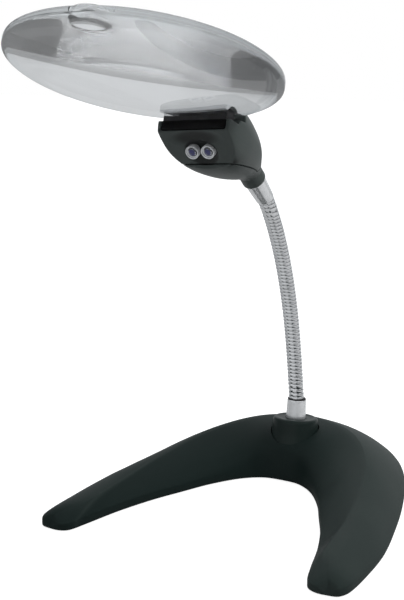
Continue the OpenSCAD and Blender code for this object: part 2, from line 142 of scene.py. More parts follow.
class Bench:
    """One material in the making, with its node tree."""

    def __init__(self, name: str) -> None:
        """Starts an empty material of that name."""
        self.material = bpy.data.materials.new(name)
        self.material.use_nodes = True
        self.tree = self.material.node_tree
        self.tree.nodes.clear()

    def node(
        self, kind: str, settings: Optional[dict] = None, feeds: Optional[dict] = None
    ) -> bpy.types.Node:
        """Adds any node.

        Args:
            kind: the node's type.
            settings: what is set before the sockets; "stops" are a ramp's places and colours.
            feeds: the value or link of each input, by socket name or number.

        Returns:
            The new node.
        """
        made = self.tree.nodes.new(kind)
        for key, value in (settings or {}).items():
            if key == "stops":
                ramp = made.color_ramp
                while len(ramp.elements) < len(value):
                    ramp.elements.new(0.5)
                for element, (place, colour) in zip(ramp.elements, value):
                    element.position = place
                    element.color = (*colour, 1.0)
            else:
                setattr(made, key, value)
        for key, value in (feeds or {}).items():
            self.feed(made.inputs[key], value)
        return made

    def feed(self, socket: Socket, value: object) -> None:
        """Links a signal or socket to an input, or sets the input's own value.

        Args:
            socket: the input.
            value: a Signal, an output socket, a number or a tuple.
        """
        if isinstance(value, Signal):
            self.tree.links.new(value.socket, socket)
        elif isinstance(value, Socket):
            self.tree.links.new(value, socket)
        elif isinstance(value, tuple) and len(value) == 3 and socket.type == "RGBA":
            socket.default_value = (*value, 1.0)
        else:
            socket.default_value = value

    def math(self, operation: str, *values: Amount) -> Signal:
        """Adds a Math node.

        Args:
            operation: the node's operation.
            values: its inputs, in order.

        Returns:
            The result.
        """
        node = self.node("ShaderNodeMath", {"operation": operation}, dict(enumerate(values)))
        return Signal(self, node.outputs[0])

    def place(self, frame_matrix: Optional[Matrix] = None) -> Socket:
        """Object coordinates in millimetres, seen from a sub-assembly's own frame.

        Args:
            frame_matrix: where that frame stands, in millimetres; the table's frame if left out.

        Returns:
            The vector socket.
        """
        where = self.node("ShaderNodeTexCoord").outputs["Object"]
        scaled = self.node("ShaderNodeVectorMath", {"operation": "SCALE"}, {0: where, "Scale": 1.0 / MM})
        if frame_matrix is None:
            return scaled.outputs[0]
        turned = self.node(
            "ShaderNodeMapping",
            {"vector_type": "TEXTURE"},
            {
                "Vector": scaled.outputs[0],
                "Location": tuple(frame_matrix.to_translation()),
                "Rotation": tuple(frame_matrix.to_euler("XYZ")),
            },
        )
        return turned.outputs[0]

    def split(self, vector: Socket) -> tuple[Signal, Signal, Signal]:
        """The three coordinates of a vector."""
        node = self.node("ShaderNodeSeparateXYZ", None, {0: vector})
        return tuple(Signal(self, out) for out in node.outputs)

    def noise(self, vector: Socket, scale: float, detail: float = 3.0) -> Signal:
        """Noise between 0 and 1.

        Args:
            vector: where it is read.
            scale: lumps in a millimetre.
            detail: octaves.

        Returns:
            The noise.
        """
        feeds = {"Vector": vector, "Scale": scale, "Detail": detail, "Roughness": 0.55}
        node = self.node("ShaderNodeTexNoise", None, feeds)
        return Signal(self, node.outputs[0])

    def blend(self, factor: Amount, first: object, second: object) -> Socket:
        """Mixes two colours.

        Args:
            factor: 0 for the first, 1 for the second.
            first: a colour or colour socket.
            second: a colour or colour socket.

        Returns:
            The colour socket.
        """
        node = self.node("ShaderNodeMix", {"data_type": "RGBA"}, {0: factor, 6: first, 7: second})
        return node.outputs[2]

    def bump(self, height: Signal, strength: float, depth: float) -> Socket:
        """A normal that follows a height.

        Args:
            height: the height, from 0 to 1.
            strength: how much of it shows.
            depth: the height's size in millimetres.

        Returns:
            The normal socket.
        """
        feeds = {"Height": height, "Strength": strength, "Distance": depth * MM}
        node = self.node("ShaderNodeBump", None, feeds)
        return node.outputs[0]

    def done(self, **feeds: object) -> Material:
        """Closes the material with a Principled shader.

        Args:
            feeds: its inputs, with underscores for the spaces in their names.

        Returns:
            The material.
        """
        named = {key.replace("_", " "): value for key, value in feeds.items()}
        shader = self.node("ShaderNodeBsdfPrincipled", None, named)
        self.node("ShaderNodeOutputMaterial", None, {"Surface": shader.outputs[0]})
        return self.material


# ---------------------------------------------------------------- finishes


@dataclass(frozen=True)
class MouldedPlastic:
    """Satin moulding with a fine spark-eroded grain, and painted shade where a shade mask is given."""

    name: str
    colour: Colour
    light: Colour
    roughness: float = 0.42
    grain: float = 3.2
    coat: float = 0.0
    specular: float = 0.3
    frame_matrix: Optional[Matrix] = None
    # painted shade: an optional mask of the places whose colour is darkened to stand in for shade
    shade: Optional[Callable[["Bench", tuple[Signal, Signal, Signal]], Signal]] = None
    painted_shade_colour: Colour = (0.002, 0.0025, 0.0024)

    def make(self) -> Material:
        """Builds the material."""
        bench = Bench(self.name)
        where = bench.place(self.frame_matrix)
        clouds = bench.noise(where, 0.05, 4.0)
        fine = bench.noise(where, self.grain, 2.0)
        base = bench.blend((clouds.step(0.3, 0.7) * 0.7) + (fine * 0.3), self.colour, self.light)
        rough = (fine * 0.12) + (clouds * 0.1) + (self.roughness - 0.1)
        # painted shade: the colour is blended towards the dark shade colour where the mask is high
        if self.shade is not None:
            mask = self.shade(bench, bench.split(where))
            base = bench.blend(mask, base, self.painted_shade_colour)
        return bench.done(
            Base_Color=base,
            Roughness=rough,
            Specular_IOR_Level=self.specular,
            Coat_Weight=self.coat,
            Coat_Roughness=0.15,
            Normal=bench.bump(fine, 0.12, 0.06),
        )


@dataclass(frozen=True)
class BrightMetal:
    """Plated or turned metal with faint lines round or along it."""

    name: str
    colour: Colour
    roughness: float
    stretch: tuple[float, float, float] = (1.0, 1.0, 1.0)
    frame_matrix: Optional[Matrix] = None
    stain: float = 0.25
    metallic: float = 1.0

    def make(self) -> Material:
        """Builds the material."""
        bench = Bench(self.name)
        where = bench.place(self.frame_matrix)
        drawn = bench.node("ShaderNodeVectorMath", {"operation": "MULTIPLY"}, {0: where, 1: self.stretch})
        lines = bench.noise(drawn.outputs[0], 2.0, 3.0)
        haze = bench.noise(where, 0.25, 3.0)
        darker = tuple(c * (1.0 - self.stain) for c in self.colour)
        return bench.done(
            Base_Color=bench.blend(haze.step(0.45, 0.75), self.colour, darker),
            Metallic=self.metallic,
            Roughness=(lines * 0.14) + (haze * 0.08) + (self.roughness - 0.08),
            Normal=bench.bump(lines, 0.1, 0.03),
        )


@dataclass(frozen=True)
class Rubber:
    """Matt black rubber with a dusty, pebbled surface."""

    name: str
    colour: Colour = (0.012, 0.012, 0.013)
    roughness: float = 0.75

    def make(self) -> Material:
        """Builds the material."""
        bench = Bench(self.name)
        where = bench.place()
        pebbles = bench.noise(where, 1.6, 4.0)
        dust = bench.noise(where, 0.12, 5.0)
        dusty = tuple(c * 2.4 + 0.01 for c in self.colour)
        return bench.done(
            Base_Color=bench.blend(dust.step(0.5, 0.8), self.colour, dusty),
            Roughness=(pebbles * 0.15) + (self.roughness - 0.05),
            Normal=bench.bump(pebbles, 0.35, 0.15),
        )


@dataclass(frozen=True)
class RoughCoat:
    """Paint, board lacquer or bare casting, by its colours and its lumps."""

    name: str
    colour: Colour
    other: Colour
    roughness: float
    lumps: float
    depth: float
    metallic: float = 0.0

    def make(self) -> Material:
        """Builds the material."""
        bench = Bench(self.name)
        where = bench.place()
        skin = bench.noise(where, self.lumps, 4.0)
        wear = bench.noise(where, self.lumps * 0.2, 5.0)
        return bench.done(
            Base_Color=bench.blend(wear.step(0.35, 0.7), self.colour, self.other),
            Metallic=self.metallic,
            Roughness=(skin * 0.25) + (self.roughness - 0.12),
            Normal=bench.bump(skin, 0.4, self.depth),
        )


@dataclass(frozen=True)
class ClearAcrylic:
    """Clear acrylic with a trace of haze; a small share of the light passes straight through, unbent."""

    name: str
    frame_matrix: Matrix
    rim: float
    index: float = 1.49
    bent_share: float = 0.93

    def make(self) -> Material:
        """Builds the material."""
        bench = Bench(self.name)
        where = bench.place(self.frame_matrix)
        across, along, _ = bench.split(where)
        radius = ((across * across) + (along * along)) ** 0.5
        haze = bench.noise(where, 0.3, 3.0)
        tint = bench.blend(radius.step(self.rim - 6.0, self.rim), (0.95, 0.962, 0.97), (0.88, 0.92, 0.935))
        return bench.done(
            Base_Color=tint,
            Roughness=haze.step(0.55, 0.9) * 0.02,
            IOR=self.index,
            Transmission_Weight=1.0,
            Alpha=self.bent_share,
        )


@dataclass(frozen=True)
class LampDome:
    """Clear epoxy over a dark blue chip, with the cup's ring round it, its bright patches painted glints."""

    name: str
    frame_matrix: Matrix

    def make(self) -> Material:
        """Builds the material."""
        bench = Bench(self.name)
        where = bench.place(self.frame_matrix)
        across, along, _ = bench.split(where)
        radius = ((across * across) + (along * along)) ** 0.5
        glints = bench.noise(where, 1.1, 3.0)
        core = 1.0 - radius.step(1.3, 1.8)
        # painted glints: bright patches on the cup's colour stand in for its reflections
        cup = bench.blend(glints.step(0.48, 0.6), (0.02, 0.025, 0.03), (0.62, 0.64, 0.68))
        return bench.done(
            Base_Color=bench.blend(core, cup, (0.006, 0.008, 0.11)),
            Metallic=0.0,
            Roughness=0.12 + (glints * 0.1),
            Coat_Weight=1.0,
            Coat_Roughness=0.03,
            Normal=bench.bump(glints, 0.5, 0.25),
        )


# ---------------------------------------------------------------- modelling


def turn_about(degrees: float, axis: str) -> Matrix:
    """A turn about one axis."""
    return Matrix.Rotation(math.radians(degrees), 4, axis)


def only(piece: Piece) -> None:
    """Selects one object and makes it active."""
    bpy.ops.object.select_all(action="DESELECT")
    piece.select_set(True)
    bpy.context.view_layer.objects.active = piece


def modified(piece: Piece, kind: str, **settings: object) -> None:
    """Adds a modifier and applies it.

    Args:
        piece: the object.
        kind: the modifier's type.
        settings: the modifier's own settings.
    """
    only(piece)
    modifier = piece.modifiers.new(kind.lower(), kind)
    for key, value in settings.items():
        setattr(modifier, key, value)
    bpy.ops.object.modifier_apply(modifier=modifier.name)


def lofted(name: str, rings: Sequence[Ring]) -> Piece:
    """A closed skin over rings that all have the same number of points.

    Args:
        name: the object's name.
        rings: the rings, in millimetres.

    Returns:
        The object, still in millimetres.
    """
    shape = bmesh.new()
    rows = [[shape.verts.new(p) for p in ring] for ring in rings]
    count = len(rows[0])
    for low, high in zip(rows, rows[1:]):
        for i in range(count):
            j = (i + 1) % count
            shape.faces.new((low[i], low[j], high[j], high[i]))
    shape.faces.new(rows[0][::-1])
    shape.faces.new(rows[-1])
    bmesh.ops.recalc_face_normals(shape, faces=shape.faces)
    mesh = bpy.data.meshes.new(name)
    shape.to_mesh(mesh)
    shape.free()
    piece = bpy.data.objects.new(name, mesh)
    bpy.context.collection.objects.link(piece)
    return piece


def turned(name: str, profile: Sequence[Point], segments: int = 72, bevel: float = 0.0) -> Piece:
    """A turned piece: a circle that is drawn out ring by ring and closed at both ends.

    Args:
        name: the object's name.
        profile: radius and height of each ring, in millimetres.
        segments: corners in a ring.
        bevel: rounding of the piece's edges.

    Returns:
        The object, still in millimetres.
    """
    bpy.ops.object.select_all(action="DESELECT")
    radius, height = profile[0]
    bpy.ops.mesh.primitive_circle_add(vertices=segments, radius=radius, fill_type="NOTHING")
    piece = bpy.context.active_object
    piece.name = name
    bpy.ops.object.mode_set(mode="EDIT")
    bpy.ops.mesh.select_mode(type="EDGE")
    bpy.ops.mesh.select_all(action="SELECT")
    bpy.ops.transform.translate(value=(0, 0, height))
    bpy.ops.mesh.edge_face_add()
    for next_radius, next_height in profile[1:]:
        bpy.ops.mesh.extrude_region_move(TRANSFORM_OT_translate={"value": (0, 0, next_height - height)})
        growth = next_radius / radius
        bpy.ops.transform.resize(value=(growth, growth, 1), center_override=(0, 0, next_height))
        radius, height = next_radius, next_height
    bpy.ops.mesh.select_all(action="SELECT")
    bpy.ops.mesh.normals_make_consistent(inside=False)
    bpy.ops.object.mode_set(mode="OBJECT")
    if bevel:
        modified(piece, "BEVEL", width=bevel, segments=3, limit_method="ANGLE", angle_limit=math.radians(28))
    return piece


def prism(name: str, outline: Sequence[Point], half: float) -> Piece:
    """A slab across the head, with a side outline of y, z points.

    Args:
        name: the object's name.
        outline: the corners.
        half: half the slab's width along X.

    Returns:
        The object, still in millimetres.
    """
    return lofted(name, [[Vector((x, y, z)) for y, z in outline] for x in (-half, half)])


def cut(piece: Piece, tool: Piece, operation: str = "DIFFERENCE") -> None:
    """Cuts, joins or crosses a piece with a tool, which is then thrown away.

    Args:
        piece: the object that is shaped.
        tool: the other solid.
        operation: the boolean's name.
    """
    modified(piece, "BOOLEAN", object=tool, operation=operation, solver="EXACT")
    bpy.data.meshes.remove(tool.data)


def moved(piece: Piece, place: Matrix) -> Piece:
    """Moves a piece's mesh, and leaves its object at the origin."""
    piece.data.transform(place)
    return piece


def settled(piece: Piece, place: Matrix, smooth: float = 32.0) -> Piece:
    """Puts a millimetre piece in its place in the row's metres, smooth-shaded.

    Args:
        piece: the object.
        place: where its own frame stands, in millimetres.
        smooth: the angle in degrees over which an edge stays sharp.

    Returns:
        The same object.
    """
    piece.data.transform(Matrix.Scale(MM, 4) @ place)
    only(piece)
    bpy.ops.object.shade_smooth_by_angle(angle=math.radians(smooth))
    return piece


def dressed(piece: Piece, material: Material) -> Piece:
    """Gives a piece its finish."""
    piece.data.materials.clear()
    piece.data.materials.append(material)
    return piece


def curve(a: float, b: float, c: float, d: float, t: float) -> float:
    """Catmull-Rom value between b and c."""
    return 0.5 * (2 * b + (c - a) * t + (2 * a - 5 * b + 4 * c - d) * t * t + (3 * b - a - 3 * c + d) * t**3)


def station(rows: Sequence[Sequence[float]], place: float) -> list[float]:
    """The values of a station list at any place along it.

    Args:
        rows: the stations.
        place: from 0 to the last station's number.

    Returns:
        The values there.
    """
    last = len(rows) - 1
    i = min(int(place), last - 1)
    near = (rows[max(i - 1, 0)], rows[i], rows[i + 1], rows[min(i + 2, last)])
    return [curve(*values, place - i) for values in zip(*near)]


def rounded(corners: Sequence[tuple[Vector, float]], steps: int = 4) -> Ring:
    """A closed outline whose corners are rounded.

    Args:
        corners: each corner and how far its rounding reaches along both sides.
        steps: points in each rounding.

    Returns:
        The outline's points; a corner with no reach keeps one point, so the count depends only on the list.
    """
    points: Ring = []
    for i, (corner, reach) in enumerate(corners):
        if reach <= 0:
            points.append(corner)
            continue
        before = corners[i - 1][0] - corner
        after = corners[(i + 1) % len(corners)][0] - corner
        start = corner + before.normalized() * min(reach, 0.45 * before.length)
        end = corner + after.normalized() * min(reach, 0.45 * after.length)
        for k in range(steps + 1):
            t = k / steps
            points.append(start * (1 - t) ** 2 + corner * 2 * t * (1 - t) + end * t * t)
    return points


def spaced(count: int, low: float, high: float) -> list[float]:
    """Evenly spaced numbers from low to high, both included."""
    return [low + (high - low) * i / (count - 1) for i in range(count)]


# ---------------------------------------------------------------- base


@dataclass
class Base:
    """The crescent base moulding: solid above a shallow recess, with the turret's seat sunk in it."""

    # inner edge x, y; outer edge x, y; ridge x, y, z; inner wall; roundness; outer wall; bulge of the slope
    stations: list[list[float]] = field(
        default_factory=lambda: [
            [0, -18, 0, 63.5, 0, 18, 26, 1, 4, 2, 0.06],
            [10, -19.5, 26, 57, 14, 15, 25.6, 2, 3, 2, 0.08],
            [20, -27, 44.5, 37, 27, 8.5, 24.3, 4, 1.8, 2, 0.1],
            [29.7, -41, 58, 9.5, 38, -3.5, 22.3, 4.5, 1.3, 2, 0.12],
            [37.4, -57, 67.5, -23, 47, -21, 19.5, 4.5, 1.2, 2, 0.15],
            [45.2, -74, 73.5, -51, 54, -46, 15.5, 4.5, 1.15, 2, 0.2],
            [52.2, -94, 77.95, -79, 58, -76, 12, 4.5, 1.1, 2.5, 0.3],
            [57, -113, 78.55, -103, 60, -106, 9.9, 4.5, 1.1, 3.5, 0.3],
            [60.2, -123.5, 77.5, -119.5, 66, -118, 8, 4, 1.1, 4, 0.22],
            [65.5, -126.4, 74.5, -125.4, 69.5, -123.6, 6, 3.6, 1.1, 3.8, 0.1],
        ]
    )
    rings_per_station: int = 12
    rim_z: float = 0.6
    wall: float = 2.6
    recess_z: float = 3.6
    recess_end: float = 7.7
    nose_start: float = 8.7
    nose_steps: int = 8
    seat_radius: float = 12.72

    def ring(self, place: float, side: int, shrink: float = 1.0) -> Ring:
        """One cross-section of the crescent.

        Args:
            place: where it is along the stations.
            side: 1 for the right leg, -1 for the left.
            shrink: its size, for the rounding of the leg's nose.

        Returns:
            The ring's points.
        """
        ix, iy, ox, oy, rx, ry, top, lip, power, foot, bulge = station(self.stations, place)
        inner, outer, ridge = Vector((ix, iy, 0)), Vector((ox, oy, 0)), Vector((rx, ry, 0))
        up = Vector((0, 0, 1))
        across = (outer - inner).normalized()
        low = up * self.rim_z
        fade = min(1.0, max(0.0, (self.recess_end - place) * 2))
        ceiling = up * (self.rim_z + (self.recess_z - self.rim_z) * fade)
        soft = 0.5 + 1.6 * max(0.0, place - 5) / 4 + 3.0 * max(0.0, 1.6 - place)
        corners = [(inner + low, 0.6), (inner + up * lip, 0.9)]
        for t in (0.965, 0.92, 0.86, 0.78, 0.68, 0.57, 0.45, 0.33, 0.21, 0.11):
            rise = lip + (top - lip) * (1 - t**power) ** (1 / power)
            corners.append((ridge + (inner - ridge) * t + up * rise, 0))
        corners.append((ridge + up * top, soft))
        for t in (0.1, 0.2, 0.32, 0.45, 0.58, 0.7, 0.81, 0.9):
            rise = top + (foot - top) * t + bulge * top * 4 * t * (1 - t)
            corners.append((ridge + (outer - ridge) * t + up * rise, 0))
        corners += [(outer + up * foot, 1.6), (outer + low, 0.6)]
        corners += [(outer - across * self.wall + low, 0.0), (outer - across * self.wall + ceiling, 0.0)]
        corners += [(inner + across * self.wall + ceiling, 0.0), (inner + across * self.wall + low, 0.0)]
        middle = (inner + outer) / 2 + low
        points = [middle + (p - middle) * shrink for p in rounded(corners)]
        return [Vector((side * p.x, p.y, p.z)) for p in points]

    def leg(self, side: int) -> list[Ring]:
        """The rings of one leg, from beside the middle to its rounded nose."""
        count = round(self.nose_start * self.rings_per_station)
        rings = [self.ring(self.nose_start * i / count, side) for i in range(1, count + 1)]
        last = len(self.stations) - 1
        for k in range(1, self.nose_steps + 1):
            turn = math.pi / 2 * k / self.nose_steps
            place = self.nose_start + (last - self.nose_start) * math.sin(turn)
            rings.append(self.ring(place, side, 0.18 + 0.82 * math.cos(turn) ** 0.6))
        return rings

    def shell(self, swivel: "Swivel") -> Piece:
        """The moulding, with the turret's seat sunk in it.

        Args:
            swivel: gives the seat's place.

        Returns:
            The moulding, in place.
        """
        rings = self.leg(-1)[::-1] + [self.ring(0.0, 1)] + self.leg(1)
        piece = lofted("base_moulding", rings)
        tool = turned("seat_tool", [(self.seat_radius, -0.05), (self.seat_radius, 40)], 128)
        cut(piece, moved(tool, swivel.place()))
        return settled(piece, Matrix(), 38)

    def build(self, swivel: "Swivel", finish: dict[str, Material]) -> None:
        """Builds and dresses the base.

        Args:
            swivel: the swivel that stands in the base.
            finish: the materials, by slot.
        """
        piece = dressed(self.shell(swivel), finish["green_black_plastic"])
        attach(piece, Body.BASE.value)
        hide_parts("base_shell")
        LOG.info("base moulding: %d faces", len(piece.data.polygons))


# ---------------------------------------------------------------- swivel


@dataclass
class Swivel:
    """The turret in the middle of the base, and the sleeve on it."""

    foot: tuple[float, float, float] = (0.0, -2.3, 17.0)
    lean: float = 6.0
    radius: float = 12.5
    height: float = 13.6
    sleeve: float = 9.4

    def place(self) -> Matrix:
        """Where the swivel's own frame stands."""
        return Matrix.Translation(self.foot) @ turn_about(-self.lean, "X")

    def turret(self) -> Piece:
        """The turret's body: a chamfered foot, a slightly tapered wall and a rounded, sunk top."""
        r, h = self.radius, self.height
        profile = [
            (5.0, -12.3), (5.0, -8.4), (6.0, -8.2), (6.0, 0.3), (r - 0.1, 0.3), (r, 0.5), (r, 1.3),
            (r - 0.15, 1.6),
            (r - 0.3, 8.0), (r - 0.55, 11.7), (r - 0.75, 12.6), (r - 1.2, 13.3), (r - 1.9, h), (r - 2.6, h),
            (r - 3.5, h - 0.3), (6.2, h - 0.42), (5.7, h - 0.3), (5.35, h - 0.9),
        ]
        return settled(turned("turret_body", profile, 96, 0.12), self.place(), 40)

    def ferrule(self) -> Piece:
        """The lower sleeve, with a shallow groove and a rolled top edge."""
        low, high = self.height - 5, self.height + self.sleeve
        profile = [
            (3.8, low), (3.8, self.height - 0.6), (5.25, self.height - 0.5), (5.22, self.height + 0.6),
            (4.98, high - 2.0), (4.98, high - 0.4), (4.75, high), (4.2, high), (4.1, high - 0.6),
        ]
        return settled(turned("lower_sleeve", profile, 72, 0.1), self.place(), 40)

    def collar(self) -> Piece:
        """The dark ring between the sleeve and the gooseneck."""
        high = self.height + self.sleeve
        profile = [(4.6, high - 0.3), (4.72, high), (4.78, high + 0.5), (4.6, high + 0.95), (4.1, high + 1.1)]
        return settled(turned("neck_collar", profile, 72, 0.08), self.place(), 50)

    def build(self, finish: dict[str, Material]) -> None:
        """Builds and dresses the swivel.

        Args:
            finish: the materials, by slot.
        """
        body = dressed(self.turret(), finish["turret"])
        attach(body, Body.TURRET.value)
        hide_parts("turret")
        sleeve = dressed(self.ferrule(), finish["satin_chrome"])
        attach(sleeve, Body.TURRET.value)
        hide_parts("lower_ferrule")
        collar = dressed(self.collar(), finish["black_rubber"])
        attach(collar, Body.TURRET.value)
        LOG.info("swivel: turret, sleeve and collar")


# ---------------------------------------------------------------- neck


@dataclass
class Neck:
    """The gooseneck: a close coil that bends at six places."""

    start: tuple[float, float, float] = (0.0, -0.4, 40.6)
    step: float = 17.0
    lean_low: float = 9.0
    lean_high: float = 36.0
    segments: int = 7
    radius: float = 4.0
    pitch: float = 2.05
    groove: float = 0.72
    sides: int = 40
    slices: int = 10

    def direction(self, number: int) -> Vector:
        """The direction of one segment, counted from 0 at the foot."""
        share = (number / (self.segments - 1)) ** 1.5
        lean = math.radians(self.lean_low + (self.lean_high - self.lean_low) * share)
        return Vector((0, -math.sin(lean), math.cos(lean)))

    def knot(self, number: int) -> Vector:
        """The joint at the foot of a segment, counted from 0."""
        point = Vector(self.start)
        for i in range(number):
            point += self.direction(i) * self.step
        return point

    def middle(self, number: int) -> Vector:
        """The middle of a segment, counted from 0."""
        return self.knot(number) + self.direction(number) * (self.step / 2)

    def coil(
        self, name: str, path: tuple[Vector, Vector, Vector], travelled: float
    ) -> tuple[Piece, float]:
        """A stretch of coil along a bent line.

        Args:
            name: the object's name.
            path: the line's start, its corner and its end.
            travelled: the length of neck below it, which keeps the turns in step.

        Returns:
            The stretch, in place, and the length of neck at its upper end.
        """
        a, b, c = path
        fine = [a * (1 - t) ** 2 + b * 2 * t * (1 - t) + c * t * t for t in spaced(200, 0, 1)]
        length = sum((q - p).length for p, q in zip(fine, fine[1:]))
        count = max(4, round(length / self.pitch * self.slices))
        rings = []
        for t in spaced(count + 1, 0, 1):
            centre = a * (1 - t) ** 2 + b * 2 * t * (1 - t) + c * t * t
            along = ((b - a) * (1 - t) + (c - b) * t).normalized()
            side = Vector((1, 0, 0))
            side = (side - along * side.dot(along)).normalized()
            front = along.cross(side)
            ring = []
            for i in range(self.sides):
                turn = 2 * math.pi * i / self.sides
                share = ((travelled + length * t) / self.pitch + i / self.sides) % 1.0
                wire = math.sqrt(max(0.0, 1 - (2 * share - 1) ** 2))
                radius = self.radius - self.groove * (1 - wire)
                ring.append(centre + side * (radius * math.cos(turn)) + front * (radius * math.sin(turn)))
            rings.append(ring)
        return settled(lofted(name, rings), Matrix(), 60), travelled + length

    def build(self, swivel: Swivel, head: "Head", finish: dict[str, Material]) -> None:
        """Builds the coil from the lower sleeve to the head's ferrule.

        Args:
            swivel: holds the neck's foot.
            head: holds the neck's upper end.
            finish: the materials, by slot.
        """
        foot = swivel.place() @ Vector((0, 0, swivel.height + swivel.sleeve - 0.5))
        corner = self.knot(0) + self.direction(0) * 1.5
        piece, travelled = self.coil("coil_root", (foot, corner, self.middle(0)), 0.0)
        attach(dressed(piece, finish["chrome_coil"]), Body.TURRET.value)
        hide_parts("neck_1")
        for k in range(1, self.segments):
            ends = self.middle(k - 1), self.middle(k)
            piece, travelled = self.coil(f"coil_{k}", (ends[0], self.knot(k), ends[1]), travelled)
            dressed(piece, finish["chrome_coil"])
            tuple(ends[0] * MM)
            tuple(ends[1] * MM)
            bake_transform(piece)
            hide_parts(f"neck_{k + 1}")
        top = head.socket() @ Vector((0, 0, head.ferrule_length - 1.0))
        corner = self.knot(self.segments)
        piece, travelled = self.coil("coil_tip", (self.middle(self.segments - 1), corner, top), travelled)
        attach(dressed(piece, finish["chrome_coil"]), Body.HEAD.value)
        LOG.info("neck: %.1f mm of coil", travelled)


# ---------------------------------------------------------------- head


@dataclass
class Head:
    """The lens, and the lamp head that clamps it."""

    where: tuple[float, float, float] = (-4.1, -143.8, 211.4)
    yaw: float = -1.5
    tilt: float = -21.6
    roll: float = -3.2
    # place along the head, half width, top, bottom, roundness of the top, roundness of the underside
    stations: list[list[float]] = field(
        default_factory=lambda: [
            [38, 16.2, 8.8, -12, 0.35, 0.32],
            [42, 17.3, 9.3, -13.7, 0.4, 0.32],
            [50, 17.8, 9, -18.1, 0.65, 0.4],
            [58, 17.8, 8.2, -21.1, 0.8, 0.58],
            [66, 17.2, 7, -22.1, 0.85, 0.72],
            [76, 15.2, 4.6, -21.2, 0.88, 0.82],
            [84, 12.6, 1.8, -19.4, 0.9, 0.9],
            [90, 9.8, -1.4, -17.5, 0.95, 0.95],
            [95, 7.4, -4.6, -16.4, 1, 1],
            [98, 6, -6, -15.8, 1, 1],
        ]
    )
    lens_radius: float = 55.0
    lens_face: float = 245.0
    lens_rim: float = 2.6
    spot: Point = (4.5, -42.5)
    spot_radius: float = 8.6
    spot_face: float = 19.0
    spot_top: float = 5.6
    socket_end: tuple[float, float, float] = (0.0, 103.9, -13.3)
    socket_lean: float = 20.4
    socket_radius: float = 5.7
    ferrule_length: float = 14.4
    band_y: float = 42.0
    lip_z: float = -10.6
    band_top: float = -5.7
    scoop_end: Point = (58.5, -20.3)
    dish: tuple[float, float, float] = (0.0, 45.0, -29.6)
    dish_radius: float = 17.0
    jaw_z: float = 6.6
    jaw_front: float = 41.0
    seam: tuple[Point, ...] = ((56, -20.4), (90, -13.7), (96.5, -7), (115, -3))
    led_place: tuple[float, float] = (51.2, -17.0)
    led_half_pitch: float = 3.8
    led_lean: float = 45.0
    cap_place: tuple[float, float] = (77.5, 3.2)
    cap_lean: float = -17.0
    cap_radius: float = 8.8
    button_y: float = 62.5
    button_radius: float = 3.15
    button_top: float = 9.4
    voxel: float = 0.32

    def place(self) -> Matrix:
        """Where the head's own frame stands: the lens's middle, +Y to the neck, +Z up through the lens."""
        turn = turn_about(self.yaw, "Z")
        turn = turn @ turn_about(self.tilt, "X")
        turn = turn @ turn_about(self.roll, "Y")
        return Matrix.Translation(self.where) @ turn

    def socket_frame(self) -> Matrix:
        """The socket's end in the head's frame, with +Z towards the neck."""
        return Matrix.Translation(self.socket_end) @ turn_about(-90 - self.socket_lean, "X")

    def socket(self) -> Matrix:
        """The socket's end in the table's frame."""
        return self.place() @ self.socket_frame()

    def lamp_frame(self, side: int) -> Matrix:
        """A lamp's place in the head's frame, with +Z out of the head."""
        y, z = self.led_place
        return Matrix.Translation((side * self.led_half_pitch, y, z)) @ turn_about(180 - self.led_lean, "X")

    def cap_frame(self) -> Matrix:
        """The battery cap's place in the head's frame."""
        y, z = self.cap_place
        return Matrix.Translation((0, y, z)) @ turn_about(self.cap_lean, "X")

    # ---- lens

    def lens_height(self, x: float, y: float) -> float:
        """The upper face of the lens over its middle plane."""
        sag = self.lens_face - math.sqrt(self.lens_face**2 - self.lens_radius**2)
        return self.lens_rim / 2 + sag - self.lens_face + math.sqrt(self.lens_face**2 - x * x - y * y)

    def spot_height(self, x: float, y: float) -> float:
        """The upper face where the spot lens may stand over the lens."""
        off = (x - self.spot[0]) ** 2 + (y - self.spot[1]) ** 2
        dome = self.spot_top - self.spot_face + math.sqrt(max(0.0, self.spot_face**2 - off))
        lens = self.lens_height(x, y)
        return 0.5 * (dome + lens + math.sqrt((dome - lens) ** 2 + 0.02))

    def lens(self) -> Piece:
        """The lens and the spot lens as one clear body, in rings that grow from the spot lens to the rim."""
        sides = 160

        def ring(share: float, radius: float, height: Callable[[float, float], float]) -> Ring:
            """A ring of points on a face, round a middle that is a share of the way to the spot lens."""
            points = []
            for i in range(sides):
                turn = 2 * math.pi * i / sides
                x = self.spot[0] * share + radius * math.cos(turn)
                y = self.spot[1] * share + radius * math.sin(turn)
                points.append(Vector((x, y, height(x, y))))
            return points

        rings = [ring(1.0, r, self.spot_height) for r in spaced(22, 0.05, self.spot_radius - 0.15)]
        edge = self.spot_radius
        rings.append(ring(1.0, edge, lambda x, y: self.spot_height(x, y) - 0.1))
        drop = 0.35
        rings.append(
            ring(1.0, edge + 0.04, lambda x, y: max(self.spot_height(x, y) - drop, self.lens_height(x, y)))
        )
        rings.append(ring(1.0, edge + 0.08, self.lens_height))
        grow = self.lens_radius - 0.35 - edge - 0.16
        for t in spaced(26, 0.02, 1.0):
            rings.append(ring(1 - t, edge + 0.16 + grow * t, self.lens_height))
        half = self.lens_rim / 2
        rim_rings = (
            (half - 0.08, 0.08), (half - 0.35, 0.0), (0.0, 0.0), (0.35 - half, 0.0), (0.08 - half, 0.08),
        )
        for lift, inset in rim_rings:
            rings.append(ring(0.0, self.lens_radius - inset, lambda x, y, z=lift: z))
        for r in spaced(28, self.lens_radius - 0.35, 0.05):
            rings.append(ring(0.0, r, lambda x, y: -self.lens_height(x, y)))
        return settled(lofted("clear_lens", rings), self.place(), 50)

    # ---- mouldings

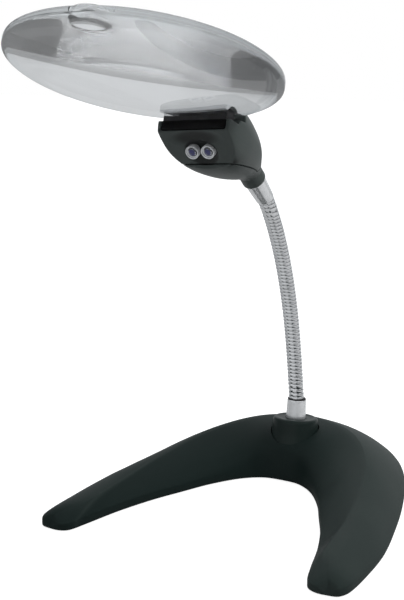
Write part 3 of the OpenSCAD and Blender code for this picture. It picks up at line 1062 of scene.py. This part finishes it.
    def section(self, place: float) -> Ring:
        """One cross-section of the head."""
        y, half_width, top, bottom, over, under = station(self.stations, place)
        middle, half = (top + bottom) / 2, (top - bottom) / 2
        count = 72
        points = []
        for i in range(count):
            turn = 2 * math.pi * (i + 0.5) / count
            c, s = math.cos(turn), math.sin(turn)
            power = over if s > 0 else under
            x = half_width * math.copysign(abs(c) ** power, c)
            points.append(Vector((x, y, middle + half * math.copysign(abs(s) ** power, s))))
        return points

    def slab(self, outline: Sequence[Point], half: float = 40.0) -> Piece:
        """A tool across the head."""
        return prism("slab_tool", outline, half)

    def ball(self, centre: Sequence[float], size: Sequence[float], turn: float = 0.0) -> Piece:
        """A ball or ellipsoid tool.

        Args:
            centre: its middle.
            size: its half axes.
            turn: its turn about X, in degrees.

        Returns:
            The tool.
        """
        bpy.ops.object.select_all(action="DESELECT")
        bpy.ops.mesh.primitive_uv_sphere_add(segments=96, ring_count=48, radius=1)
        tool = bpy.context.active_object
        stretch = Matrix.Diagonal((*size, 1.0))
        return moved(tool, Matrix.Translation(centre) @ turn_about(turn, "X") @ stretch)

    def drill(self, place: Matrix, radius: float, low: float, high: float) -> Piece:
        """A round tool along the Z of a place."""
        return moved(turned("drill_tool", [(radius, low), (radius, high)], 64), place)

    def solid(self) -> Piece:
        """The whole head before it is split at its parting line."""
        last = len(self.stations) - 1
        piece = lofted("head_blank", [self.section(p) for p in spaced(last * 8 + 1, 0, last)])
        cut(piece, self.drill(self.socket_frame(), self.socket_radius, -19, 0), "UNION")
        front, top, lip = self.band_y, self.band_top, self.lip_z
        slope = (lip - self.scoop_end[1]) / (self.scoop_end[0] - front)
        cut(piece, self.slab([(30, top), (front, top), (front, -40), (30, -40)]))
        cut(piece, self.slab([(30, lip + (front - 30) * slope), self.scoop_end, (60, -40), (30, -40)]))
        cut(piece, self.ball(self.dish, (self.dish_radius,) * 3))
        tilt = math.degrees(math.atan(slope))
        out = Vector((0, -math.sin(math.radians(tilt)), -math.cos(math.radians(tilt))))
        down = Vector((0, math.cos(math.radians(tilt)), -math.sin(math.radians(tilt))))
        centre = Vector((0, front, lip)) + down * 4.2 + out * 3.1
        cut(piece, self.ball(centre, (22, 8.5, 3.9), -tilt))
        rim = self.lens_radius + 0.3
        jaw = self.jaw_z
        cut(piece, self.slab([(30, top), (49.5, top), (51, -3.4), (rim, -3), (rim, 2), (51, jaw), (30, jaw)]))
        cut(piece, self.slab([(30, 0), (self.jaw_front, 0), (self.jaw_front, 20), (30, 20)]))
        near, far, over, under = front - 1, front + 1.2, top + 0.1, lip + 0.6
        cut(piece, self.slab([(near, over), (far, over), (far, under), (near, under)], 15.6))
        for side in (-1, 1):
            cut(piece, self.drill(self.lamp_frame(side), 3.15, -2.6, 20))
            cut(piece, self.drill(Matrix.Translation((side * 11.2, 62, 0)), 2.1, 5.0, 20))
            cut(piece, self.drill(Matrix.Translation((side * 9.5, 46, 0)), 2.1, 7.4, 20))
        cut(piece, self.drill(self.cap_frame(), self.cap_radius + 0.2, -3, 20))
        cut(piece, self.drill(Matrix.Translation((0, self.button_y, 0)), self.button_radius + 0.15, 3, 20))
        return piece

    def parted(self, blank: Piece, name: str, keep_upper: bool) -> Piece:
        """One moulding of the head, remeshed so that all its edges are softly rounded.

        Args:
            blank: the whole head, which is copied.
            name: the moulding's name.
            keep_upper: True for the upper moulding.

        Returns:
            The moulding, in place.
        """
        piece = blank.copy()
        piece.data = blank.data.copy()
        piece.name = name
        bpy.context.collection.objects.link(piece)
        shift = 0.12 if keep_upper else -0.12
        outline = [(40, self.seam[0][1] + shift - 3.2), (40, -40), (120, -40)]
        outline += [(y, z + shift) for y, z in reversed(self.seam)]
        cut(piece, self.slab(outline), "DIFFERENCE" if keep_upper else "INTERSECT")
        modified(piece, "REMESH", mode="VOXEL", voxel_size=self.voxel, use_smooth_shade=True)
        modified(piece, "SMOOTH", factor=0.5, iterations=5)
        return settled(piece, self.place(), 80)

    def small_parts(self, finish: dict[str, Material]) -> None:
        """The ferrule, lamps, rims, cap, button and the front band.

        Args:
            finish: the materials, by slot.
        """
        long = self.ferrule_length
        profile = [
            (3.5, -7), (3.5, -0.4), (4.85, -0.3), (5.05, 0.3), (4.98, 1.2), (4.72, 7.0), (4.42, long - 1.2),
            (4.3, long - 0.2), (4.0, long), (3.95, long - 0.8),
        ]
        ferrule = settled(turned("upper_sleeve", profile, 80, 0.08), self.socket(), 40)
        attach(dressed(ferrule, finish["satin_chrome"]), Body.HEAD.value)
        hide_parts("upper_ferrule")
        for side, word in ((-1, "left"), (1, "right")):
            frame_here = self.place() @ self.lamp_frame(side)
            dome = [(2.5, -7.2), (2.5, -1.9), (2.47, -1.2)]
            dome += [(2.5 * math.cos(t), -1.2 + 1.9 * math.sin(t)) for t in spaced(9, 0.15, 1.5)]
            lamp = settled(turned(f"lamp_{word}", dome, 48), frame_here, 50)
            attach(dressed(lamp, finish[f"lamp_{word}"]), Body.HEAD.value)
            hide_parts(f"led_{word}")
            rim = [
                (2.6, -2.3), (3.1, -2.3), (3.12, 0.2), (3.02, 0.55), (2.82, 0.62), (2.62, 0.35), (2.55, -0.3),
            ]
            ring = settled(turned(f"rim_{word}", rim, 64, 0.05), frame_here, 50)
            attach(dressed(ring, finish["silver_trim"]), Body.HEAD.value)
            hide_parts(f"bezel_{word}")
        lid = [(8.75, -2.9), (8.75, 0.5), (8.45, 0.95), (7.9, 1.05), (7.4, 0.85), (1.0, 0.8)]
        cap = turned("cell_cap", lid, 80, 0.08)
        cut(cap, moved(self.slab([(-0.9, 0.0), (0.9, 0.0), (0.9, 3.0), (-0.9, 3.0)], 6.0), Matrix()))
        settled(cap, self.place() @ self.cap_frame(), 40)
        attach(dressed(cap, finish["head_plastic"]), Body.HEAD.value)
        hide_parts("battery_cap")
        r, top = self.button_radius, self.button_top
        shape = [
            (1.2, 1.5), (1.2, 3.0), (r, 3.0), (r, top - 0.7), (r - 0.2, top - 0.25), (r - 0.7, top),
            (1.2, top - 0.18), (0.3, top - 0.22),
        ]
        button_place = self.place() @ Matrix.Translation((0, self.button_y, 0))
        button = settled(turned("push_button", shape, 64, 0.06), button_place, 40)
        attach(dressed(button, finish["gloss_black"]), Body.BUTTON.value)
        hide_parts("switch_button")
        y, top, low = self.band_y, self.band_top, self.lip_z + 0.7
        near, far, high = y - 0.2, y + 1.1, top - 0.1
        band = prism("front_strip", [(near, low), (far, low), (far, high), (near, high)], 15.4)
        modified(band, "BEVEL", width=0.35, segments=4, limit_method="ANGLE", angle_limit=math.radians(30))
        settled(band, self.place(), 50)
        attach(dressed(band, finish["gloss_black"]), Body.HEAD.value)
        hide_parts("front_band")
        LOG.info("head: ferrule, lamps, cap, button and front strip")

    def build(self, finish: dict[str, Material]) -> None:
        """Builds and dresses the head.

        Args:
            finish: the materials, by slot.
        """
        blank = self.solid()
        for name, node, upper in (
            ("head_moulding", "head_upper_shell", True),
            ("head_cover", "head_bottom_cover", False),
        ):
            piece = self.parted(blank, name, upper)
            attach(dressed(piece, finish["head_plastic"]), Body.HEAD.value)
            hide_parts(node)
            LOG.info("%s: %d faces", name, len(piece.data.polygons))
        bpy.data.meshes.remove(blank.data)
        lens = dressed(self.lens(), finish["clear_acrylic"])
        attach(lens, Body.HEAD.value)
        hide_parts("lens", "spot_lens")
        self.small_parts(finish)


# ---------------------------------------------------------------- finishes of this object


def base_painted_shade() -> Callable[[Bench, tuple[Signal, Signal, Signal]], Signal]:
    """Where painted shade darkens the base's colour: inner faces, the notch's hollows, noses and left leg."""

    def mask(bench: Bench, where: tuple[Signal, Signal, Signal]) -> Signal:
        """The painted shade at a place."""
        # painted shade: darker in the hollows beside the turret, at the legs' noses, on the inner faces (more
        # on the left leg than the right) and on the left leg's outer side
        oval_half, oval_long, oval_y, oval_power = 60.0, 124.0, 106.0, 2.3
        x, y, z = where
        across, along, up = x.size() - 12.5, y + 17.5, z - 8.5
        off = ((across * across) + (along * along) + (up * up)) ** 0.5
        hollow = 1.0 - off.step(1.0, 9.0)
        nose = 1.0 - (y + 123.0).step(0.0, 14.0)
        oval = ((x.size() / oval_half) ** oval_power) + (((y + oval_y) / oval_long).size() ** oval_power)
        inner = (1.0 - oval.step(0.9, 1.0)) * (0.78 - (x.step(5.0, 45.0) * 0.58))
        left = (1.0 - (x + 20.0).step(-30.0, 0.0)) * oval.step(0.95, 1.0) * 0.5
        return ((hollow * 0.3) + (nose * 0.3) + inner + left).step(-0.1, 1.0)

    return mask


def lamp_painted_shade(head: Head) -> Callable[[Bench, tuple[Signal, Signal, Signal]], Signal]:
    """Where painted shade darkens the head's moulding: the hollow round the lamps."""

    def mask(bench: Bench, where: tuple[Signal, Signal, Signal]) -> Signal:
        """The painted shade at a place."""
        # painted shade: the hollow round the lamps is darkened, where shade falls in it
        x, y, z = where
        slope = (head.lip_z - head.scoop_end[1]) / (head.scoop_end[0] - head.band_y)
        depth = z - (head.lip_z - (y - head.band_y) * slope)
        inside = 1.0 - x.size().step(13.0, 15.8)
        near = depth.step(0.1, 0.8) * (1.0 - (y - 59.0).step(0.0, 2.0)) * (1.0 - z.step(-9.6, -8.4))
        return inside * near * 0.85

    return mask


def finishes(swivel: Swivel, head: Head) -> dict[str, Material]:
    """All the materials, by slot."""
    place = head.place()
    green, green_light = (0.021, 0.0295, 0.0275), (0.026, 0.0355, 0.033)
    kinds = {
        # the base's moulding carries painted shade from its mask
        "green_black_plastic": MouldedPlastic(
            "base_plastic", green, green_light, 0.5, specular=0.1, shade=base_painted_shade(),
            painted_shade_colour=(0.006, 0.0125, 0.0115),
        ),
        "turret": MouldedPlastic(
            "turret_plastic", (0.009, 0.016, 0.0145), (0.012, 0.02, 0.018), 0.34, specular=0.16,
            frame_matrix=swivel.place()
        ),
        # the head's moulding carries painted shade in the hollow round the lamps
        "head_plastic": MouldedPlastic(
            "head_plastic", (0.04, 0.05, 0.047), (0.05, 0.061, 0.058), 0.42, frame_matrix=place,
            shade=lamp_painted_shade(head),
        ),
        "satin_chrome": BrightMetal(
            "satin_chrome", (0.86, 0.87, 0.88), 0.2, (6.0, 6.0, 0.15), head.socket(), 0.1, 0.7
        ),
        "chrome_coil": BrightMetal("chrome_coil", (0.82, 0.83, 0.84), 0.12, (1.0, 1.0, 1.0), None, 0.15),
        "silver_trim": BrightMetal("silver_trim", (0.86, 0.87, 0.89), 0.2, (0.1, 4.0, 4.0), place, 0.1, 0.35),
        "bright_steel": BrightMetal("bright_steel", (0.6, 0.6, 0.62), 0.25, (3.0, 3.0, 0.3), None, 0.3),
        "gloss_black": MouldedPlastic(
            "gloss_black", (0.0012, 0.0012, 0.0014), (0.002, 0.002, 0.0022), 0.16, 5.0, 0.0, 0.12, place
        ),
        "pad_rubber": Rubber("pad_rubber", (0.014, 0.014, 0.014), 0.8),
        "black_rubber": Rubber("black_rubber", (0.01, 0.01, 0.011), 0.55),
        "painted_plate": RoughCoat(
            "painted_plate", (0.03, 0.03, 0.032), (0.045, 0.045, 0.046), 0.45, 1.2, 0.08
        ),
        "cast_ballast": RoughCoat("cast_ballast", (0.09, 0.09, 0.09), (0.16, 0.13, 0.11), 0.7, 0.9, 0.3, 0.6),
        "board": RoughCoat("board_lacquer", (0.03, 0.14, 0.06), (0.05, 0.2, 0.09), 0.4, 2.0, 0.05),
        "clear_acrylic": ClearAcrylic("clear_acrylic", place, head.lens_radius),
        "lamp_left": LampDome("lamp_dome_left", place @ head.lamp_frame(-1)),
        "lamp_right": LampDome("lamp_dome_right", place @ head.lamp_frame(1)),
    }
    return {slot: kind.make() for slot, kind in kinds.items()}


def dress_frame(finish: dict[str, Material]) -> None:
    """Gives each CAD node that still shows the finish of its own slot.

    Args:
        finish: the materials, by slot.
    """
    slots = {part["node"]: part["material_slot"] for part in frame["record"]["subparts"]}
    for name, node in frame["nodes"].items():
        slot = slots.get(name, "bright_steel")
        material = finish.get(slot, finish["lamp_left"])
        node.data.materials.clear()
        node.data.materials.append(material)
        LOG.info("CAD node %s wears %s", name, material.name)


# ---------------------------------------------------------------- studio


@dataclass
class Studio:
    """The camera, floor and light."""

    camera_at: tuple[float, float, float] = (0.22469, -0.51472, 0.21247)
    looks_along: tuple[float, float, float] = (-0.46995, 0.85791, -0.20772)
    lens_mm: float = 66.0
    floor_half: float = 6.0

    def camera(self) -> None:
        """Sets up the camera."""
        data = bpy.data.cameras.new("studio_camera")
        data.lens = self.lens_mm
        data.sensor_width = 36.0
        data.clip_start, data.clip_end = 0.01, 50.0
        camera = bpy.data.objects.new("studio_camera", data)
        camera.location = self.camera_at
        camera.rotation_euler = Vector(self.looks_along).to_track_quat("-Z", "Y").to_euler()
        bpy.context.collection.objects.link(camera)
        bpy.context.scene.camera = camera

    def floor(self) -> None:
        """Lays a plain pale floor that also glows a little, so that its shadows stay faint."""
        bpy.ops.object.select_all(action="DESELECT")
        bpy.ops.mesh.primitive_plane_add(size=2 * self.floor_half, location=(0, 0, 0))
        floor = bpy.context.active_object
        floor.name = "studio_floor"
        bench = Bench("studio_floor")
        where = bench.place()
        tone = bench.blend(bench.noise(where, 0.02, 2.0), (0.5, 0.5, 0.5), (0.53, 0.53, 0.53))
        matt = bench.node("ShaderNodeBsdfDiffuse", None, {"Color": tone})
        glow = bench.node("ShaderNodeEmission", None, {"Color": (1.0, 1.0, 1.0), "Strength": 0.86})
        lit = bench.node("ShaderNodeAddShader", None, {0: matt.outputs[0], 1: glow.outputs[0]})
        seen = bench.node("ShaderNodeLightPath").outputs["Is Camera Ray"]
        mixed = bench.node("ShaderNodeMixShader", None, {0: seen, 1: matt.outputs[0], 2: lit.outputs[0]})
        bench.node("ShaderNodeOutputMaterial", None, {"Surface": mixed.outputs[0]})
        floor.data.materials.append(bench.material)

    def lamp(
        self, name: str, at: Sequence[float], size: float, power: float, target: Sequence[float]
    ) -> None:
        """Hangs a soft square light that shows in no reflection and through no lens.

        Args:
            name: the light's name.
            at: where it hangs.
            size: its side.
            power: its watts.
            target: what it faces.
        """
        data = bpy.data.lights.new(name, "AREA")
        data.shape = "SQUARE"
        data.size = size
        data.energy = power
        light = bpy.data.objects.new(name, data)
        light.location = at
        light.visible_transmission = False
        light.visible_glossy = False
        light.rotation_euler = (Vector(target) - Vector(at)).to_track_quat("-Z", "Y").to_euler()
        bpy.context.collection.objects.link(light)

    def sky(self) -> None:
        """Surrounds the scene: plain white to the camera, grey and darker at the sides to every other ray."""
        world = bpy.data.worlds.new("studio_sky")
        bpy.context.scene.world = world
        world.use_nodes = True
        tree = world.node_tree
        tree.nodes.clear()
        bench = Bench.__new__(Bench)
        bench.material, bench.tree = world, tree
        direction = bench.node("ShaderNodeTexCoord").outputs["Generated"]
        x, y, z = bench.split(direction)
        right = (x - 0.1).step(0.25, 0.55) * (1.0 - z.step(0.25, 0.6))
        left = (0.0 - x).step(0.6, 0.85) * (1.0 - z.step(0.3, 0.7))
        tone = bench.blend(right, (0.68, 0.695, 0.71), (0.17, 0.172, 0.18))
        tone = bench.blend(left, tone, (0.3, 0.31, 0.325))
        soft = bench.node("ShaderNodeBackground", None, {0: tone, 1: 1.0})
        plain = bench.node("ShaderNodeBackground", None, {0: (1.0, 1.0, 1.0), 1: 1.0})
        seen = bench.node("ShaderNodeLightPath").outputs["Is Camera Ray"]
        mixed = bench.node("ShaderNodeMixShader", None, {0: seen, 1: soft.outputs[0], 2: plain.outputs[0]})
        bench.node("ShaderNodeOutputWorld", None, {"Surface": mixed.outputs[0]})

    def build(self) -> None:
        """Builds the studio."""
        self.camera()
        self.floor()
        self.sky()
        self.lamp("key_light", (0.9, 0.2, 0.8), 0.6, 7.5, (0.0, -0.05, 0.05))
        self.lamp("back_light", (-0.5, 0.7, 0.8), 0.6, 2.5, (0.0, 0.0, 0.05))
        bpy.context.scene.view_settings.view_transform = "Standard"
        LOG.info("studio: camera, floor, sky and two lights")


def main() -> None:
    """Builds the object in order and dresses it."""
    logging.basicConfig(level=logging.INFO, format="%(name)s: %(message)s")
    Studio().build()
    swivel, head = Swivel(), Head()
    finish = finishes(swivel, head)
    dress_frame(finish)
    Base().build(swivel, finish)
    swivel.build(finish)
    Neck().build(swivel, head, finish)
    head.build(finish)


if __name__ == "__main__":
    main()
